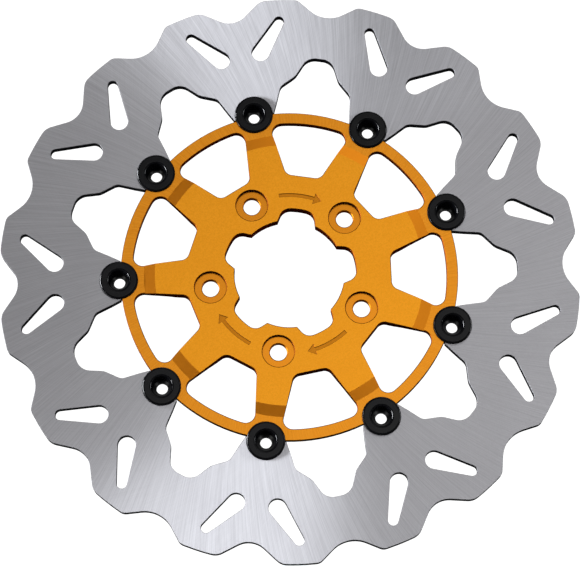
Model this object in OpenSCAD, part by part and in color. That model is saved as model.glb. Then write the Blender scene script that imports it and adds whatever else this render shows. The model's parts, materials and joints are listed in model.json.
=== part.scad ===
// Floating wave brake disc for a motorcycle.
// A steel friction ring is carried by nine drive buttons, which sit in half-round notches shared
// by the ring's tabs and the rim of an aluminium carrier. Behind each button a wave washer,
// a flat washer and a circlip hold the stack together.
// Millimetres. The disc's axis is Y, its outer face looks to -Y and +Z is up.
// The origin is the centre of the carrier's seating face, which rests on the wheel hub.
// Everything is drawn with the outer face up, then tipped forward by stand().

/* [Pattern] */
// Drive buttons, spokes, carrier windows and ring tabs
button_n = 9; // [6:1:12]
// Mounting bolts
bolt_n = 5; // [4:1:6]
// Angle of the first button and of the first bolt hole, from +X towards +Z
clock_deg = 262.2; // [0:0.1:360]

/* [Friction ring] */
// Outer diameter over the wave tips
ring_od = 300; // [280:1:320]
// Thickness of the friction ring
ring_t = 5; // [4:0.1:6]
// Radius of the tabs' inner ends
tab_r = 87.6; // [86:0.1:89]
// Radius of the point where the flanks of a deep valley would meet
deep_valley_r = 137.6; // [134:0.1:142]
// Rounding at the bottom of a deep valley, which lies in line with a button
deep_valley_round = 11.6; // [6:0.1:18]
// Radius of the point where the flanks of a shallow valley would meet
shallow_valley_r = 138; // [134:0.1:142]
// Rounding at the bottom of a shallow valley, between two buttons
shallow_valley_round = 15.4; // [6:0.1:18]
// Angle from a valley to the corner of the wave beside it
wave_corner_deg = 6.25; // [5:0.05:8]
// Rounding of the wave corners beside a deep valley
deep_corner_round = 8; // [1:0.5:10]
// Rounding of the wave corners beside a shallow valley
shallow_corner_round = 5; // [1:0.5:10]

/* [Cooling slots] */
// Radius at which the wide end of a slot is centred
slot_wide_at = 121.5; // [118:0.1:126]
// Radius at which the narrow end of a slot is centred
slot_narrow_at = 138; // [133:0.1:140]
// Angle from the button's line to the wide end
slot_wide_deg = 5; // [2:0.1:8]
// Angle from the button's line to the narrow end
slot_narrow_deg = 9.9; // [8:0.1:12]
// Half width of the wide end
slot_wide_r = 4.7; // [3.5:0.1:6]
// Half width of the narrow end
slot_narrow_r = 2.7; // [1.5:0.1:4]

/* [Ring windows] */
// Distance from the axis to the top of a window
window_top = 118; // [112:0.1:122]
// Half width of the window's crown, where its flanks would reach the top
crown_half_w = 6.4; // [4:0.1:9]
// Half width at the neck below the crown
neck_half_w = 11.4; // [8:0.1:15]
// Distance from the axis to the neck
neck_at = 107; // [102:0.1:110]
// Half width at the shoulder
shoulder_half_w = 18.5; // [15:0.1:20]
// Distance from the axis to the shoulder
shoulder_at = 100.2; // [95:0.1:104]
// Half width at the window's foot, beside the tabs
foot_half_w = 19.3; // [17:0.1:21]

/* [Carrier rim and spokes] */
// Outer radius of the carrier's rim
rim_r = 87.1; // [84:0.1:90]
// Inner radius of the rim, at the top of the carrier windows
rim_inner_r = 81.2; // [78:0.1:82]
// Thickness of the rim
rim_t = 4; // [3:0.1:4.6]
// How far the hub's front face stands in front of the rim's
hub_proud = 1.5; // [0.2:0.05:2]
// Radius where the front step starts to fall from the hub
step_inner_r = 69.3; // [60:0.1:74]
// Radius where the front step reaches the rim's level
step_outer_r = 75; // [66:0.1:79]
// Radius where the back step starts to fall from the hub
back_step_inner_r = 60; // [50:0.5:70]
// Radius where the back step reaches the rim's level
back_step_outer_r = 64; // [54:0.5:74]
// Radius of the boss behind the rim at each button
boss_r = 9.5; // [8:0.1:9.7]
// Distance from the axis to the foot of a carrier window
cut_foot = 52.6; // [50:0.1:56]
// Half width of a carrier window at its foot
cut_foot_half_w = 8.9; // [6:0.1:12]
// Half width of a carrier window at the rim
cut_top_half_w = 21.4; // [16:0.1:22]
// Rounding of the window corners at the foot
cut_foot_round = 4.5; // [1:0.1:6]
// Rounding of the window corners at the rim
cut_top_round = 4.9; // [1:0.1:6]

/* [Hub] */
// Thickness of the hub
hub_t = 6.3; // [5.8:0.1:9]
// Radius of the lands that centre the carrier on the wheel hub
land_r = 28.35; // [26:0.05:30]
// Half angle of one land
land_half_deg = 15.7; // [10:0.1:20]
// Radius of the pockets between the lands
pocket_r = 34.6; // [33:0.1:36]
// Half angle of a pocket at its outer corners
pocket_half_deg = 13.55; // [8:0.05:18]
// Rounding of the pocket corners
pocket_round = 5.5; // [1:0.1:6]
// Diameter of the bolt circle
bolt_pcd = 82.55; // [70:0.05:100]
// Diameter of the bolt holes
bolt_hole_d = 8.8; // [8:0.1:11]
// Diameter of the counterbores
counterbore_d = 16.5; // [14:0.1:20]
// Depth of the counterbores
counterbore_depth = 2.5; // [1:0.1:4]
// Radius of the engraved direction arrows
arrow_r = 42; // [38:0.1:46]
// Half angle of an engraved direction arrow
arrow_half_deg = 15; // [8:0.5:20]
// Line width of an engraved direction arrow
arrow_w = 1.7; // [0.8:0.1:3]
// Depth of the engraving
arrow_depth = 0.5; // [0.1:0.05:0.8]

/* [Drive buttons] */
// Diameter of the circle through the button centres
button_pcd = 176; // [170:0.5:182]
// Diameter of the button's flange
flange_d = 20; // [18:0.1:22]
// Thickness of the flange
flange_t = 1.5; // [0.8:0.1:2.4]
// Rounding of the flange's front edge
flange_round = 1.2; // [0.2:0.1:1.3]
// Diameter of the shank
shank_d = 13; // [12:0.1:14]
// Radius at which the dish in the front starts
dish_r = 6.4; // [5:0.1:7]
// Rounding of the dish's lip
lip_round = 1.3; // [0.5:0.1:2]
// Angle between the dish's wall and the axis
dish_cone_deg = 20; // [16:0.5:40]
// Diameter of the hole through the button
button_hole_d = 5.9; // [4.5:0.1:7]
// Radial clearance between the shank and its notches
notch_clearance = 0.05; // [0.02:0.01:0.1]

/* [Retaining stack] */
// Axial float of the friction ring, each way from its middle position
ring_float = 0.15; // [0.05:0.01:0.3]
// Gap left when the ring is at the end of its float, and between stacked parts
hair = 0.02; // [0.01:0.01:0.05]
// Radial gap between the shank and the washers
washer_clearance = 0.15; // [0.05:0.05:0.3]
// Outer diameter of the washers
washer_d = 18.8; // [17:0.1:21]
// Thickness of the wave washer's strip
wave_strip_t = 0.3; // [0.2:0.05:0.5]
// Height of the wave washer over its waves
wave_h = 0.6; // [0.4:0.05:1]
// Thickness of the flat washer
flat_t = 0.8; // [0.3:0.05:1]
// Thickness of the circlip
clip_t = 1; // [0.5:0.05:1.2]
// Depth of the circlip's groove
groove_depth = 0.75; // [0.4:0.05:1]
// Outer diameter of the circlip
clip_d = 16.4; // [15:0.1:18]
// Length of shank behind the groove
shank_tail = 1.2; // [0.6:0.1:2]

/* [Hidden] */
$fn = 96;
sector = 360 / button_n;
button_r = button_pcd / 2;
ring_r = ring_od / 2;
shank_r = shank_d / 2;
notch_r = shank_r + notch_clearance;
// heights over the seating face, before the disc is stood up
hub_front = hub_t;
rim_front = hub_front - hub_proud;
rim_back = rim_front - rim_t;
flange_back = rim_front + hair;
flange_front = flange_back + flange_t;
ring_front = flange_back - ring_float - hair;
ring_back = ring_front - ring_t;
wave_front = ring_back - ring_float - hair;
wave_back = wave_front - wave_h;
flat_front = wave_back - hair;
flat_back = flat_front - flat_t;
clip_front = flat_back - hair;
clip_back = clip_front - clip_t;
shank_end = clip_back - hair - shank_tail;
groove_r = shank_r - groove_depth;
edge_r = min(flange_round, flange_t - 0.2);
washer_in_r = shank_r + washer_clearance;
// how deep the dish's wall, a cone below a rounded lip, reaches before it meets the hole
dish_depth = lip_round * (1 - sin(dish_cone_deg))
    + (dish_r - lip_round * cos(dish_cone_deg) - button_hole_d / 2) / tan(dish_cone_deg);

steel = [0.72, 0.72, 0.74];
gold = [0.86, 0.55, 0.12];
black = [0.05, 0.05, 0.06];
spring_steel = [0.35, 0.35, 0.37];
zinc = [0.62, 0.62, 0.64];

// a point at radius r, a degrees clockwise from the pattern's own line
function polar(r, a) = [r * sin(a), r * cos(a)];
function unit(v) = v / norm(v);
function turned(v, a) = [v[0] * cos(a) + v[1] * sin(a), v[1] * cos(a) - v[0] * sin(a)];
// mirror a list of points left to right and run it backwards
function mirrored(pts) = [for (i = [len(pts) - 1:-1:0]) [-pts[i][0], pts[i][1], pts[i][2]]];

// points of one rounded corner b, between its neighbours a and c; b is [x, y, rounding]
function corner(a, b, c) =
    let (p = [b[0], b[1]], r = b[2],
         u = unit([a[0], a[1]] - p), v = unit([c[0], c[1]] - p),
         half = acos(max(-1, min(1, u * v))) / 2)
    r == 0 || half > 89.9 ? [p] :
    let (centre = p + unit(u + v) * r / sin(half),
         s = p + u * r / tan(half) - centre, e = p + v * r / tan(half) - centre,
         a0 = atan2(s[1], s[0]), d = atan2(e[1], e[0]) - a0,
         sweep = d > 180 ? d - 360 : d < -180 ? d + 360 : d,
         n = max(3, ceil(abs(sweep) / 7)))
    [for (k = [0:n]) centre + r * [cos(a0 + sweep * k / n), sin(a0 + sweep * k / n)]];

// an outline from corner points, each with its own rounding
function rounded(pts) = let (n = len(pts))
    [for (i = [0:n - 1]) each corner(pts[(i + n - 1) % n], pts[i], pts[(i + 1) % n])];

// an outline round two circles of different size and their common tangents
function tapered(p, pr, q, qr, n = 12) =
    let (d = q - p, t = atan2(d[1], d[0]), b = acos((pr - qr) / norm(d)))
    concat([for (k = [0:n]) let (w = t + b + (360 - 2 * b) * k / n) p + pr * [cos(w), sin(w)]],
           [for (k = [0:n]) let (w = t - b + 2 * b * k / n) q + qr * [cos(w), sin(w)]]);

// stands the face-up drawing upright: outer face to -Y, drawing's +Y to +Z
module stand() rotate([90, 0, 0]) children();
// turns the pattern's own line to place i of n
module place(i, n) rotate(clock_deg - 90 + 360 * i / n) children();
// a flat shape as a plate between two heights
module plate(z0, z1) translate([0, 0, z0]) linear_extrude(z1 - z0) children();
module drum(r, z0, z1) translate([0, 0, z0]) cylinder(r = r, h = z1 - z0);

// half of one wave sector, from the deep valley to the shallow one; the rest is its mirror image
function wave_half() = [
    [0, deep_valley_r, deep_valley_round],
    [each polar(ring_r, wave_corner_deg), deep_corner_round],
    for (a = [wave_corner_deg + 2.4:1.15:sector / 2 - wave_corner_deg - 2]) [each polar(ring_r, a), 0],
    [each polar(ring_r, sector / 2 - wave_corner_deg), shallow_corner_round],
];
function wave_sector() = let (h = wave_half(), m = len(h)) concat(
    h,
    [[each polar(shallow_valley_r, sector / 2), shallow_valley_round]],
    [for (i = [m - 1:-1:1]) let (q = turned([-h[i][0], h[i][1]], sector)) [q[0], q[1], h[i][2]]]
);
function wave_outline() = rounded([for (k = [0:button_n - 1]) for (p = wave_sector())
    let (q = turned([p[0], p[1]], k * sector)) [q[0], q[1], p[2]]]);

module slot(side) polygon(tapered(
    polar(slot_wide_at, side * slot_wide_deg), slot_wide_r,
    polar(slot_narrow_at, side * slot_narrow_deg), slot_narrow_r));

module ring_window() {
    right = [
        [foot_half_w + 0.9, tab_r - 4, 0],
        [foot_half_w, tab_r + 3.4, 6],
        [shoulder_half_w, shoulder_at, 5],
        [neck_half_w, neck_at, 8],
        [crown_half_w, window_top, 7.5],
    ];
    polygon(rounded(concat(right, mirrored(right))));
}

module friction_ring() color(steel) stand() difference() {
    place(0, button_n) plate(ring_back, ring_front) polygon(wave_outline());
    drum(tab_r, ring_back - 1, ring_front + 1);
    for (i = [0:button_n - 1]) {
        place(i, button_n) plate(ring_back - 1, ring_front + 1) slot(1);
        place(i, button_n) plate(ring_back - 1, ring_front + 1) slot(-1);
        place(i + 0.5, button_n) plate(ring_back - 1, ring_front + 1) ring_window();
        place(i, button_n) translate([0, button_r, 0]) drum(notch_r, ring_back - 1, ring_front + 1);
    }
}

module carrier_blank() rotate_extrude() polygon([
    [land_r, 0], [back_step_inner_r, 0], [back_step_outer_r, rim_back],
    [rim_r - 0.3, rim_back], [rim_r, rim_back + 0.3],
    [rim_r, rim_front - 0.3], [rim_r - 0.3, rim_front],
    [step_outer_r, rim_front], [step_inner_r, hub_front],
    [land_r, hub_front],
]);

// thickens the rim behind a button, so that the button's washers bear on the carrier while the ring floats
module button_boss() intersection() {
    translate([0, button_r, 0]) drum(boss_r, wave_front + hair, rim_front - 1);
    drum(rim_r - 0.5, wave_front, rim_front);
}

module carrier_window() {
    top_deg = asin(cut_top_half_w / rim_inner_r);
    right = [
        [cut_foot_half_w, cut_foot, cut_foot_round],
        [each polar(rim_inner_r, top_deg), cut_top_round],
    ];
    top = [for (a = [10:-2:-10]) [each polar(rim_inner_r, a), 0]];
    polygon(rounded(concat(right, top, mirrored(right))));
}

// flared relief between two lands, open towards the axis
module hub_pocket() {
    land_deg = 180 / bolt_n - land_half_deg;
    a = polar(pocket_r, pocket_half_deg);
    b = polar(land_r, land_deg);
    c = b + (b - a) * 0.5;
    right = [[c[0], c[1], 0], [a[0], a[1], pocket_round]];
    arc = [for (w = [6.5:-1.3:-6.5]) [each polar(pocket_r, w), 0]];
    polygon(rounded(concat(right, arc, mirrored(right))));
}

module bolt_hole() {
    drum(bolt_hole_d / 2, -1, hub_front + 1);
    drum(counterbore_d / 2, hub_front - counterbore_depth, hub_front + 1);
    translate([0, 0, -1]) cylinder(r1 = bolt_hole_d / 2 + 1.5, r2 = bolt_hole_d / 2, h = 1.5);
    translate([0, 0, hub_front - counterbore_depth - 0.4])
        cylinder(r1 = bolt_hole_d / 2, r2 = bolt_hole_d / 2 + 0.6, h = 0.6);
}

// a curved arrow that gives the direction of rotation
module arrow() {
    tip = arrow_half_deg;
    n = 16;
    tail = [for (k = [0:n]) polar(arrow_r + arrow_w / 2, -tip + (2 * tip - 5) * k / n)];
    back = [for (k = [n:-1:0]) polar(arrow_r - arrow_w / 2, -tip + (2 * tip - 5) * k / n)];
    wing = arrow_w * 1.6;
    head = [polar(arrow_r + wing, tip - 5), polar(arrow_r, tip), polar(arrow_r - wing, tip - 5)];
    polygon(concat(tail, head, back));
}

module carrier() color(gold) stand() difference() {
    union() {
        carrier_blank();
        for (i = [0:button_n - 1]) place(i, button_n) button_boss();
    }
    for (i = [0:button_n - 1]) {
        place(i + 0.5, button_n) plate(-1, hub_front + 1) carrier_window();
        place(i, button_n) translate([0, button_r, 0]) drum(notch_r, wave_front - 1, rim_front + 1);
    }
    for (i = [0:bolt_n - 1]) {
        place(i + 0.5, bolt_n) plate(-1, hub_front + 1) hub_pocket();
        place(i, bolt_n) translate([0, bolt_pcd / 2, 0]) bolt_hole();
    }
    for (i = [0.5, 2.5, 4.5]) place(i, bolt_n) plate(hub_front - arrow_depth, hub_front + 1) arrow();
}

// puts a child drawn about the disc's axis at button k
module at_button(k) stand() place(k - 1, button_n) translate([0, button_r, 0]) children();

module drive_button(k) color(black) at_button(k) rotate_extrude() polygon(concat(
    [[button_hole_d / 2, shank_end + 0.3], [button_hole_d / 2 + 0.3, shank_end],
     [shank_r - 0.4, shank_end], [shank_r, shank_end + 0.4],
     [shank_r, clip_back - hair], [groove_r, clip_back - hair],
     [groove_r, clip_front + hair], [shank_r, clip_front + hair],
     [shank_r, flange_back], [flange_d / 2 - 0.15, flange_back], [flange_d / 2, flange_back + 0.15]],
    [for (w = [0:10:90]) [flange_d / 2 - edge_r * (1 - cos(w)), flange_front - edge_r * (1 - sin(w))]],
    [for (s = [0:0.125:1]) let (w = (90 - dish_cone_deg) * s)
        [dish_r - lip_round * sin(w), flange_front - lip_round * (1 - cos(w))]],
    [[button_hole_d / 2, flange_front - dish_depth]]
));

// a flat spring strip bent into three waves round its circle
module wave_washer(k) color(spring_steel) at_button(k) {
    steps = 36;
    amp = (wave_h - wave_strip_t) / 2;
    mid = (wave_front + wave_back) / 2;
    rim = [[washer_in_r, -1], [washer_d / 2, -1], [washer_d / 2, 1], [washer_in_r, 1]];
    points = [for (i = [0:steps - 1]) let (a = 360 * i / steps) for (c = rim)
        [c[0] * cos(a), c[0] * sin(a), mid + amp * cos(3 * a) + c[1] * wave_strip_t / 2]];
    faces = [for (i = [0:steps - 1]) let (j = (i + 1) % steps) for (c = [0:3]) let (d = (c + 1) % 4)
        each [[4 * i + c, 4 * i + d, 4 * j + d], [4 * i + c, 4 * j + d, 4 * j + c]]];
    polyhedron(points, faces);
}

module flat_washer(k) color(zinc) at_button(k) difference() {
    drum(washer_d / 2, flat_back, flat_front);
    drum(washer_in_r, flat_back - 1, flat_front + 1);
}

// external circlip: an open ring with a pierced ear at each end
module circlip(k) color(spring_steel) at_button(k) {
    in_r = groove_r + hair;
    ear_r = (in_r + clip_d / 2) / 2;
    difference() {
        union() {
            difference() {
                drum(clip_d / 2, clip_back, clip_front);
                plate(clip_back - 1, clip_front + 1) polygon([[0, 0], 30 * polar(1, -14), 30 * polar(1, 14)]);
            }
            for (s = [-1, 1]) rotate(-s * 24) translate([0, ear_r + 0.5, 0]) drum(1.5, clip_back, clip_front);
        }
        drum(in_r, clip_back - 1, clip_front + 1);
        for (s = [-1, 1]) rotate(-s * 24) translate([0, ear_r + 0.6, 0])
            drum(0.6, clip_back - 1, clip_front + 1);
    }
}

carrier();
friction_ring();
for (k = [1:button_n]) {
    drive_button(k);
    wave_washer(k);
    flat_washer(k);
    circlip(k);
}
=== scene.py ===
"""Looks for a floating brake disc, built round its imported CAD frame.

Metres. The disc's axis is Y, its outer face looks to -Y and +Z is up.
"""
import json
import math

import bmesh
import bpy
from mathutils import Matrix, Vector

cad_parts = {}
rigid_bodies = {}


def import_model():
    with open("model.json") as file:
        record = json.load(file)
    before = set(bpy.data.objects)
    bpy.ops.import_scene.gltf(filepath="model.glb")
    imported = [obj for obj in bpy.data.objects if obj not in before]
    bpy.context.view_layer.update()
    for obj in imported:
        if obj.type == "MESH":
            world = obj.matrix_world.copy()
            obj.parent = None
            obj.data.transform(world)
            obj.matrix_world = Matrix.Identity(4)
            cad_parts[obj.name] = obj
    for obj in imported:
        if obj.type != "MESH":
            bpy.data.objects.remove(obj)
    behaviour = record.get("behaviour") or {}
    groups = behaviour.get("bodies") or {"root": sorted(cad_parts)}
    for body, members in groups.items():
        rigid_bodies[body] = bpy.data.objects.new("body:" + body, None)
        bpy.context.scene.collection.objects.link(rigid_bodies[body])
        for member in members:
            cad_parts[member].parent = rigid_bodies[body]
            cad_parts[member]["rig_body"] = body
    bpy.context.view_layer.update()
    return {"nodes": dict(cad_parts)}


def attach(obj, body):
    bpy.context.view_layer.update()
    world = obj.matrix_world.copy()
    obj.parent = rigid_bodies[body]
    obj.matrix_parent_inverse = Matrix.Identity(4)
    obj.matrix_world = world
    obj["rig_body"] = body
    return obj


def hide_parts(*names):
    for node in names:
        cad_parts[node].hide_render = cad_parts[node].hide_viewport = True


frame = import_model()
nodes = frame["nodes"]

# The camera looks slightly up at the disc from below its axis.
CAMERA_AIM = Vector((0.00033, 0.0, -0.0035))
CAMERA_DISTANCE = 1.2855
CAMERA_ELEVATION = math.radians(-13.837)
CAMERA_AZIMUTH = math.radians(-0.094)
CAMERA_LENS = 154.2
SENSOR_WIDTH = 36.0

FLOOR_Z = -0.42
FLOOR_HALF = 4.0
# The floor fades into the backdrop between these distances from the disc's axis.
FLOOR_FADE = (0.25, 0.9)

WHITE = (1.0, 1.0, 1.0, 1.0)
LAMP_WHITE = (0.93, 0.96, 1.0)

# What the metal reflects besides the softboxes: soft patches of light, each given by azimuth and
# elevation in degrees (azimuth 0 is towards the camera, 90 towards +X), their widths, and a gain.
GLOWS = (
    (9, 4, 18, 10, 3.05),
    (20, 40, 30, 18, 1.4),
    # behind the disc, for the views from the back
    (118, -24, 26, 14, 2.8),
    (-118, -24, 26, 14, 2.8),
    (180, 70, 60, 16, 2.2),
    (-180, 70, 60, 16, 2.2),
)
DUSK = 0.11

# The backdrop behind the disc is white; the other walls of the studio are a pale grey. Its middle
# lies in this direction from the disc, and it fades out between these cosines of the angle to it.
BACKDROP_Y, BACKDROP_Z = 0.970, 0.242
BACKDROP_EDGE = (0.70, 0.93)
WALL_GREY, BACKDROP_WHITE = 0.78, 1.15

# name, place, width, height, watts
SOFTBOXES = (
    ("softbox_left", (-1.25, -0.36, 0.04), 0.16, 1.10, 29.5),
    ("softbox_right", (1.25, -0.35, 0.15), 0.16, 0.80, 3.8),
)

# Places on the carrier, in metres: radii from the disc's axis, and heights along it. A pair
# holds the two ends of a band.
RAMP_FOOT_R = 0.0692
RIM_FOOT_R = 0.0749
COUNTERBORES_R = 0.053
BOLT_HOLES_R = (0.0367, 0.0459)
ARROWS_R = (0.0372, 0.047)
RAMP_BACK_Y, RAMP_FRONT_Y = -0.0040, -0.0046
COUNTERBORE_FLOOR_Y = (-0.0041, -0.0036)
BOLT_HOLE_WALL_Y = (-0.0039, -0.0036)
ARROW_FLOOR_Y = (-0.00605, -0.0056)

# The ring is ground along lines that lean from its radius by about this many degrees.
GRIND_LEAN = 13.0


# ---------------------------------------------------------------- node trees
class Tree:
    """Short calls for wiring up a node tree."""

    def __init__(self, tree):
        self.nodes, self.links = tree.nodes, tree.links
        self.nodes.clear()

    def plug(self, value, socket):
        if isinstance(value, bpy.types.NodeSocket):
            self.links.new(value, socket)
        elif value is not None:
            socket.default_value = value

    def add(self, kind, out=0, **inputs):
        """Adds a node and returns its output called out (or the node, with out=None).

        An input is given by its name, with _ for a space, or by its number, as i0, i1 and so on.
        """
        n = self.nodes.new(kind)
        for k, v in inputs.items():
            name = k.replace("_", " ")
            socket = n.inputs.get(name) or n.inputs[int(k[1:])]
            self.plug(v, socket)
        return n if out is None else n.outputs[out]

    def math(self, op, a, b=None):
        n = self.nodes.new("ShaderNodeMath")
        n.operation = op
        for s, v in zip(n.inputs, (a, b)):
            self.plug(v, s)
        return n.outputs[0]

    def sum(self, a, b):
        return self.math("ADD", a, b)

    def product(self, a, b):
        return self.math("MULTIPLY", a, b)

    def rest_of(self, share):
        return self.math("SUBTRACT", 1.0, share)

    def length(self, a, b):
        return self.math("SQRT", self.sum(self.product(a, a), self.product(b, b)))

    def xyz(self, x, y, z):
        return self.add("ShaderNodeCombineXYZ", i0=x, i1=y, i2=z)

    def split(self, v):
        return self.add("ShaderNodeSeparateXYZ", None, i0=v).outputs

    def step(self, v, lo, hi, a=0.0, b=1.0):
        """Smooth step of v from a at lo to b at hi."""
        n = self.nodes.new("ShaderNodeMapRange")
        n.interpolation_type = "SMOOTHSTEP"
        for s, x in zip(n.inputs[:5], (v, lo, hi, a, b)):
            self.plug(x, s)
        return n.outputs[0]

    def band(self, v, lo, hi, blur):
        """1 where v lies between lo and hi, with soft ends outside them."""
        return self.product(self.step(v, lo - blur, lo), self.step(v, hi + blur, hi))

    def mix(self, f, a, b):
        n = self.nodes.new("ShaderNodeMix")
        n.data_type = "RGBA"
        self.plug(f, n.inputs[0])
        self.plug(a, n.inputs[6])
        self.plug(b, n.inputs[7])
        return n.outputs[2]

    def noise(self, vector, scale, detail=2.0, rough=0.5):
        return self.add("ShaderNodeTexNoise", Vector=vector, Scale=scale, Detail=detail,
                        Roughness=rough)

    def bump(self, height, distance, strength):
        return self.add("ShaderNodeBump", Height=height, Distance=distance, Strength=strength)


def rgb(r, g, b):
    return (r, g, b, 1.0)


def material(name):
    m = bpy.data.materials.new(name)
    m.use_nodes = True
    return m, Tree(m.node_tree)


def finish_material(t, shader):
    t.plug(shader, t.nodes.new("ShaderNodeOutputMaterial").inputs[0])


def place_of(t):
    """Position, y, radius and angle about the axis, and how squarely a face looks along it."""
    tc = t.add("ShaderNodeTexCoord", None)
    p = tc.outputs["Object"]
    x, y, z = t.split(p)
    r = t.length(x, z)
    a = t.math("ARCTAN2", z, x)
    facing = t.math("ABSOLUTE", t.split(tc.outputs["Normal"])[1])
    return p, y, r, a, facing


def streaks(t, r, a, slant, across, along, detail=3.0):
    """Noise drawn out along lines that lean by slant degrees from the radius; it has no seam."""
    start_r = 0.13
    log_r = t.math("LOGARITHM", t.math("DIVIDE", r, start_r), math.e)
    u = t.math("SUBTRACT", a, t.product(log_r, math.tan(math.radians(slant))))
    v = t.xyz(t.product(t.math("COSINE", u), across), t.product(t.math("SINE", u), across),
              t.product(r, along))
    return t.noise(v, 1.0, detail, 0.6)


# ---------------------------------------------------------------- materials
def ground_steel():
    """The ring: faces ground slantwise; its walls and most of its broken edges painted nearly
    black, a painted shade.
    """
    m, t = material("ground_steel")
    p, _, r, a, facing = place_of(t)
    face = t.step(facing, 0.6, 0.9)
    fine = streaks(t, r, a, 14.0, 330.0, 38.0)
    broad = streaks(t, r, a, 12.0, 95.0, 16.0, 2.0)
    cross = streaks(t, r, a, -38.0, 240.0, 60.0, 2.0)
    lines = t.sum(t.sum(t.product(fine, 0.6), t.product(broad, 0.28)), t.product(cross, 0.12))
    tone = t.step(lines, 0.3, 0.7)
    ground = t.mix(tone, rgb(0.49, 0.485, 0.51), rgb(0.70, 0.695, 0.725))
    cloud = t.step(t.noise(p, 34.0, 2.0), 0.35, 0.7)
    ground = t.mix(t.product(cloud, 0.12), ground, rgb(0.46, 0.45, 0.48))
    # painted shade: the cut walls, and most of each broken edge, are coloured near-black in place
    # of the shade they show
    cut_wall_shade = t.mix(t.noise(p, 900.0), rgb(0.006, 0.006, 0.008), rgb(0.020, 0.020, 0.024))
    face_rough = t.step(tone, 0.0, 1.0, 0.47, 0.53)
    rough = t.sum(t.product(face_rough, face), t.product(t.rest_of(face), 0.45))
    # the sheen spreads square to the lines
    across = t.sum(a, math.radians(90.0 + GRIND_LEAN))
    shader = t.add(
        "ShaderNodeBsdfPrincipled",
        Base_Color=t.mix(face, cut_wall_shade, ground),
        Metallic=t.step(face, 0.0, 1.0, 0.9, 1.0),
        # painted shade: a dark specular tint dims the reflections on the walls and broken edges
        Specular_Tint=t.mix(face, rgb(0.12, 0.12, 0.13), WHITE),
        Roughness=rough,
        Anisotropic=t.product(face, 0.95),
        Tangent=t.xyz(t.math("COSINE", across), 0.0, t.math("SINE", across)),
        Normal=t.bump(lines, 0.00004, 0.5),
    )
    finish_material(t, shader)
    return m


def gold_anodised():
    """The carrier: a blasted hub and spokes, a turned rim; its walls and broken edges painted dark
    brown as shade, the bolt holes' walls a bright orange as a painted highlight.
    """
    m, t = material("gold_anodised")
    p, y, r, a, facing = place_of(t)
    face = t.step(facing, 0.68, 0.9)
    on_rim = t.step(r, RIM_FOOT_R, RIM_FOOT_R + 0.0003)
    on_ramp = t.product(t.step(r, RAMP_FOOT_R, RAMP_FOOT_R + 0.0002), t.rest_of(on_rim))
    on_ramp = t.product(on_ramp, t.step(y, RAMP_BACK_Y, RAMP_FRONT_Y))
    grain = t.noise(p, 1500.0, 2.0, 0.6)
    cloud = t.step(t.noise(p, 60.0, 3.0), 0.4, 0.75)
    brushed = streaks(t, r, a, 8.0, 210.0, 70.0)

    blasted = t.mix(t.step(grain, 0.3, 0.7), rgb(0.70, 0.265, 0.012), rgb(0.80, 0.315, 0.018))
    blasted = t.mix(t.product(cloud, 0.25), blasted, rgb(0.70, 0.255, 0.012))
    turned = t.mix(t.step(brushed, 0.3, 0.7), rgb(0.60, 0.205, 0.012), rgb(0.74, 0.277, 0.019))
    # the ramps from the hub down to the rim are coloured redder
    color = t.mix(t.product(on_ramp, 0.8), blasted, rgb(0.83, 0.255, 0.013))
    color = t.mix(on_rim, color, turned)
    # painted shade: the floor of the engraved arrows, half a millimetre below the hub's face, is
    # coloured dark
    arrow_floor_shade = t.product(t.band(y, *ARROW_FLOOR_Y, 0.0001), t.band(r, *ARROWS_R, 0.0002))
    color = t.mix(t.product(arrow_floor_shade, 0.6), color, rgb(0.34, 0.10, 0.006))
    # the counterbores' floors, turned smooth
    bored = t.product(t.band(y, *COUNTERBORE_FLOOR_Y, 0.0001),
                      t.step(r, COUNTERBORES_R, COUNTERBORES_R - 0.0005))
    color = t.mix(bored, color, rgb(0.58, 0.20, 0.012))
    # painted shade: the milled walls, and most of each broken edge, are coloured a dark brown
    mottle = t.noise(t.xyz(r, a, y), 700.0)
    wall_shade_and_glint = t.mix(mottle, rgb(0.085, 0.015, 0.003), rgb(0.15, 0.032, 0.006))
    # painted highlight: the bolt holes' walls are coloured a bright orange instead of the dark wall
    # brown
    bolt_hole_glint = t.product(t.band(r, *BOLT_HOLES_R, 0.0003), t.step(y, *BOLT_HOLE_WALL_Y))
    wall_shade_and_glint = t.mix(t.product(bolt_hole_glint, 0.8), wall_shade_and_glint, rgb(0.50, 0.17, 0.01))

    blasted_rough = t.step(grain, 0.2, 0.8, 0.34, 0.41)
    turned_rough = t.step(brushed, 0.2, 0.8, 0.30, 0.42)
    rough = t.mix(on_rim, blasted_rough, turned_rough)
    rough = t.mix(t.product(bored, face), rough, rgb(0.24, 0.24, 0.24))
    relief = t.mix(on_rim, grain, brushed)
    shader = t.add(
        "ShaderNodeBsdfPrincipled",
        Base_Color=t.mix(face, wall_shade_and_glint, color),
        Metallic=1.0,
        # painted shade: a dark specular tint dims the reflections on the walls and broken edges
        Specular_Tint=t.mix(face, rgb(0.14, 0.035, 0.01), WHITE),
        Roughness=rough,
        Normal=t.bump(relief, 0.00006, t.step(bored, 0.0, 1.0, 0.35, 0.05)),
    )
    finish_material(t, shader)
    return m


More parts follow.
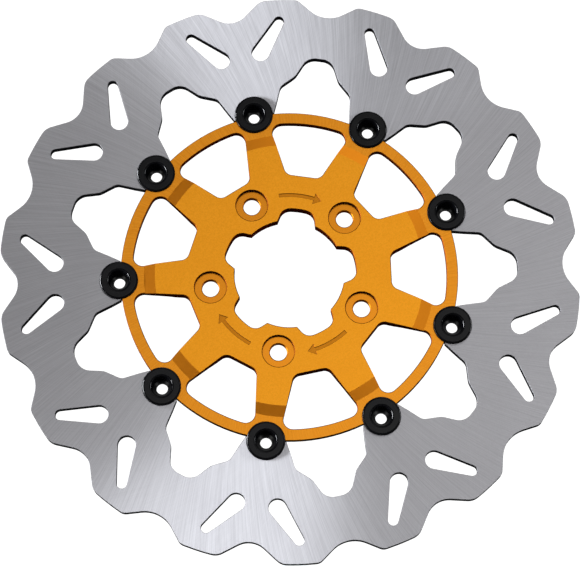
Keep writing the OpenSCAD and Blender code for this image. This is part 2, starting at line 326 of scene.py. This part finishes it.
def black_anodised():
    """The buttons: burnished roundings, a duller flat, a dull and dark funnel and bore."""
    m, t = material("black_anodised")
    p, _, _, _, facing = place_of(t)
    grain = t.noise(p, 2600.0, 2.0)
    cloud = t.noise(p, 240.0, 2.0)
    flat = t.step(facing, 0.92, 0.98)
    matt = t.step(facing, 0.98, 0.999)
    steep = t.step(facing, 0.50, 0.36)
    rounded_rough = t.step(cloud, 0.3, 0.7, 0.10, 0.15)
    flat_rough = t.step(cloud, 0.3, 0.7, 0.22, 0.30)
    tone = t.step(cloud, 0.35, 0.7)
    shine = t.product(t.step(flat, 0.0, 1.0, 0.24, 0.0), t.step(steep, 0.0, 1.0, 1.0, 0.15))
    shader = t.add(
        "ShaderNodeBsdfPrincipled",
        Base_Color=t.mix(tone, rgb(0.0015, 0.0015, 0.002), rgb(0.003, 0.003, 0.004)),
        Roughness=t.mix(flat, rounded_rough, flat_rough),
        Specular_IOR_Level=t.sum(shine, t.product(matt, 0.14)),
        Normal=t.bump(grain, 0.000004, 0.2),
    )
    finish_material(t, shader)
    return m


def plain_steel(name, dark, light, rough, grain_scale):
    """Small stamped steel parts: mottled plating with fine pits."""
    m, t = material(name)
    p = t.add("ShaderNodeTexCoord", "Object")
    grain = t.noise(p, grain_scale, 3.0)
    mottle = t.step(t.noise(p, 420.0, 2.0), 0.35, 0.68)
    shader = t.add(
        "ShaderNodeBsdfPrincipled",
        Base_Color=t.mix(mottle, dark, light),
        Metallic=1.0,
        Roughness=t.step(grain, 0.25, 0.75, rough - 0.06, rough + 0.06),
        Normal=t.bump(grain, 0.00002, 0.3),
    )
    finish_material(t, shader)
    return m


MATERIALS = {
    "carrier": gold_anodised(),
    "friction_ring": ground_steel(),
    "drive_button": black_anodised(),
    "wave_washer": plain_steel("phosphated_spring_steel",
                               rgb(0.10, 0.10, 0.105), rgb(0.17, 0.17, 0.175), 0.42, 1800.0),
    "flat_washer": plain_steel("zinc_plated_steel",
                               rgb(0.52, 0.53, 0.55), rgb(0.64, 0.65, 0.68), 0.32, 1500.0),
    "circlip": plain_steel("blued_spring_steel",
                           rgb(0.055, 0.055, 0.065), rgb(0.10, 0.10, 0.115), 0.34, 2000.0),
}
# The width of the broken edge in metres, and the angle in degrees over which an edge stays sharp.
# The turned buttons have their own roundings, and the wave washers stay as the CAD has them.
EDGES = {
    "carrier": (0.00035, 9.0),
    "friction_ring": (0.00016, 20.0),
    "drive_button": (0.0, 15.0),
    "flat_washer": (0.0001, 28.0),
    "circlip": (0.0001, 28.0),
}
# Two directions count as the same when their cosine is over LEVEL. A flat face stands proud when
# most of its edges, over the share MOSTLY, are convex.
LEVEL = 0.9
MOSTLY = 0.9
# An edge is broken only above a wall whose cosine to the axis is under UPRIGHT, by at most
# WALL_SHARE of the wall's height.
UPRIGHT = 0.35
WALL_SHARE = 0.3
# Corners of the inner outline move at most this many widths, so that sharp notches stay clean.
MITRE_LIMIT = 2.5
# Corners closer than SAME_SPOT are one corner, and a wall has to be higher than LEAST_WALL.
SAME_SPOT = 1e-6
LEAST_WALL = 1e-5


def kind_of(name):
    return name if name in MATERIALS else name.rsplit("_", 1)[0]


# ---------------------------------------------------------------- broken edges
def spot_of(v):
    return tuple(round(c, 6) for c in v.co)


def column_of(v):
    return round(v.co.x, 5), round(v.co.z, 5)


def flat_regions(bm):
    """The connected faces that look along the axis and stand proud of the walls round them."""
    left = dict.fromkeys(f for f in bm.faces if abs(f.normal.y) > LEVEL)
    while left:
        todo, region = [left.popitem()[0]], []
        while todo:
            f = todo.pop()
            region.append(f)
            for e in f.edges:
                for g in e.link_faces:
                    if g in left and g.normal.dot(f.normal) > LEVEL:
                        del left[g]
                        todo.append(g)
        inside = set(region)
        rim = [e for f in region for e in f.edges
               if len(e.link_faces) == 2 and not inside.issuperset(e.link_faces)]
        if rim and sum(e.is_convex for e in rim) > MOSTLY * len(rim):
            yield region, rim


def wall_columns(bm):
    """The heights along the axis at which each column of corners has one."""
    columns = {}
    for v in bm.verts:
        columns.setdefault(column_of(v), []).append(v.co.y)
    return columns


def chamfer_sizes(rim, inside, inward, columns, width):
    """How wide the chamfer may be at each corner of a flat face's rim."""
    sizes = {}
    for e in rim:
        wall = next(f for f in e.link_faces if f not in inside)
        for v in e.verts:
            drops = [(y - v.co.y) * inward for y in columns.get(column_of(v), ())]
            drops = [d for d in drops if d > LEAST_WALL]
            upright = abs(wall.normal.y) < UPRIGHT
            size = min(width, WALL_SHARE * min(drops)) if drops and upright else 0.0
            spot = spot_of(v)
            sizes[spot] = min(size, sizes.get(spot, width))
    return sizes


def inner_corners(made, inside):
    """For each corner of the old outline, the corner that the inset made of it."""
    moved = {}
    for f in made:
        for e in f.edges:
            a, b = e.verts
            a_in = any(g in inside for g in a.link_faces)
            b_in = any(g in inside for g in b.link_faces)
            if a_in != b_in:
                outer, inner = (b, a) if a_in else (a, b)
                moved[outer] = inner
    return moved


def break_edges(mesh, width):
    """Chamfers the edges where a flat face meets a wall square to it, as a deburring tool would."""
    bm = bmesh.new()
    bm.from_mesh(mesh)
    bmesh.ops.remove_doubles(bm, verts=bm.verts, dist=SAME_SPOT)
    bm.normal_update()
    columns = wall_columns(bm)
    for region, rim in list(flat_regions(bm)):
        inside, inward = set(region), 1.0 if region[0].normal.y < 0 else -1.0
        sizes = chamfer_sizes(rim, inside, inward, columns, width)
        made = bmesh.ops.inset_region(bm, faces=region, use_boundary=True, use_even_offset=True,
                                      thickness=width)
        for outer, inner in inner_corners(made["faces"], inside).items():
            size = sizes.get(spot_of(outer), 0.0)
            step = inner.co - outer.co
            if step.length > MITRE_LIMIT * width:
                step *= MITRE_LIMIT * width / step.length
            inner.co = outer.co + step * (size / width)
            outer.co.y += inward * size
    bm.normal_update()
    bm.to_mesh(mesh)
    bm.free()


def dressed(name, obj, kind):
    """A copy of a plate-like CAD solid with its edges broken, which stands for it."""
    mesh = obj.data.copy()
    mesh.name = name + "_finished"
    if mesh.has_custom_normals:
        mesh.attributes.remove(mesh.attributes["custom_normal"])
    width, sharp = EDGES[kind]
    if width:
        break_edges(mesh, width)
    mesh.shade_smooth()
    mesh.set_sharp_from_angle(angle=math.radians(sharp))
    piece = bpy.data.objects.new(name + "_finished", mesh)
    bpy.context.scene.collection.objects.link(piece)
    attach(piece, obj["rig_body"])
    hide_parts(name)
    return piece


for name, obj in nodes.items():
    kind = kind_of(name)
    piece = dressed(name, obj, kind) if kind in EDGES else obj
    for o in (piece, obj):
        o.data.materials.clear()
        o.data.materials.append(MATERIALS[kind])


# ---------------------------------------------------------------- studio
def studio_world():
    """The camera sees a plain backdrop; the metal reflects soft patches of light in a dim room."""
    world = bpy.data.worlds.new("studio")
    bpy.context.scene.world = world
    world.use_nodes = True
    t = Tree(world.node_tree)
    x, y, z = t.split(t.add("ShaderNodeTexCoord", "Generated"))
    el = t.math("ARCSINE", z)
    az = t.math("ARCTAN2", x, t.product(y, -1.0))

    def off_by(angle, middle, width):
        d = t.math("DIVIDE", t.math("SUBTRACT", angle, math.radians(middle)), math.radians(width))
        return t.product(d, d)

    reflected = DUSK
    for az_mid, el_mid, az_width, el_width, gain in GLOWS:
        q = t.sum(off_by(az, az_mid, az_width), off_by(el, el_mid, el_width))
        glow = t.product(t.math("EXPONENT", t.product(q, -1.0)), gain)
        reflected = t.sum(glow, reflected)
    behind = t.sum(t.product(y, BACKDROP_Y), t.product(z, BACKDROP_Z))
    backdrop = t.step(behind, *BACKDROP_EDGE, WALL_GREY, BACKDROP_WHITE)
    seen = t.add("ShaderNodeLightPath", "Is Camera Ray")
    strength = t.sum(t.product(t.rest_of(seen), reflected), t.product(seen, backdrop))
    shader = t.add("ShaderNodeBackground", Color=WHITE, Strength=strength)
    t.plug(shader, t.nodes.new("ShaderNodeOutputWorld").inputs[0])


def softbox(name, position, width, height, watts):
    """A lamp that looks at the disc's middle and that the camera doesn't see."""
    data = bpy.data.lights.new(name, "AREA")
    data.shape, data.size, data.size_y = "RECTANGLE", width, height
    data.energy, data.color = watts, LAMP_WHITE
    obj = bpy.data.objects.new(name, data)
    bpy.context.scene.collection.objects.link(obj)
    obj.location = position
    obj.rotation_euler = (-Vector(position)).to_track_quat("-Z", "Y").to_euler()
    obj.visible_camera = False


def pale_floor():
    mesh = bpy.data.meshes.new("floor")
    h = FLOOR_HALF
    corners = [(-h, -h, FLOOR_Z), (h, -h, FLOOR_Z), (h, h, FLOOR_Z), (-h, h, FLOOR_Z)]
    mesh.from_pydata(corners, [], [(0, 1, 2, 3)])
    obj = bpy.data.objects.new("floor", mesh)
    bpy.context.scene.collection.objects.link(obj)
    m, t = material("pale_floor")
    p = t.add("ShaderNodeTexCoord", "Object")
    x, y, _ = t.split(p)
    tone = t.mix(t.noise(p, 6.0), rgb(0.80, 0.80, 0.80), rgb(0.84, 0.84, 0.84))
    body = t.add("ShaderNodeBsdfPrincipled", Base_Color=tone, Roughness=0.85)
    clear = t.add("ShaderNodeBsdfTransparent", Color=WHITE)
    fade = t.step(t.length(x, y), *FLOOR_FADE)
    finish_material(t, t.add("ShaderNodeMixShader", i0=fade, i1=body, i2=clear))
    mesh.materials.append(m)
    # the gloss of the metal shows the dim studio, as if the floor weren't there
    obj.visible_glossy = False


def camera():
    data = bpy.data.cameras.new("camera")
    data.lens, data.sensor_width, data.sensor_fit = CAMERA_LENS, SENSOR_WIDTH, "HORIZONTAL"
    data.clip_start, data.clip_end = 0.01, 50.0
    obj = bpy.data.objects.new("camera", data)
    bpy.context.scene.collection.objects.link(obj)
    level = math.cos(CAMERA_ELEVATION)
    back = Vector((math.sin(CAMERA_AZIMUTH) * level, -math.cos(CAMERA_AZIMUTH) * level,
                   math.sin(CAMERA_ELEVATION)))
    obj.location = CAMERA_AIM + back * CAMERA_DISTANCE
    obj.rotation_euler = (-back).to_track_quat("-Z", "Y").to_euler()
    bpy.context.scene.camera = obj


studio_world()
pale_floor()
camera()
for lamp in SOFTBOXES:
    softbox(*lamp)

scene = bpy.context.scene
scene.view_settings.view_transform = "Standard"
scene.view_settings.look = "None"
scene.view_settings.exposure = 0.0
scene.view_settings.gamma = 1.0
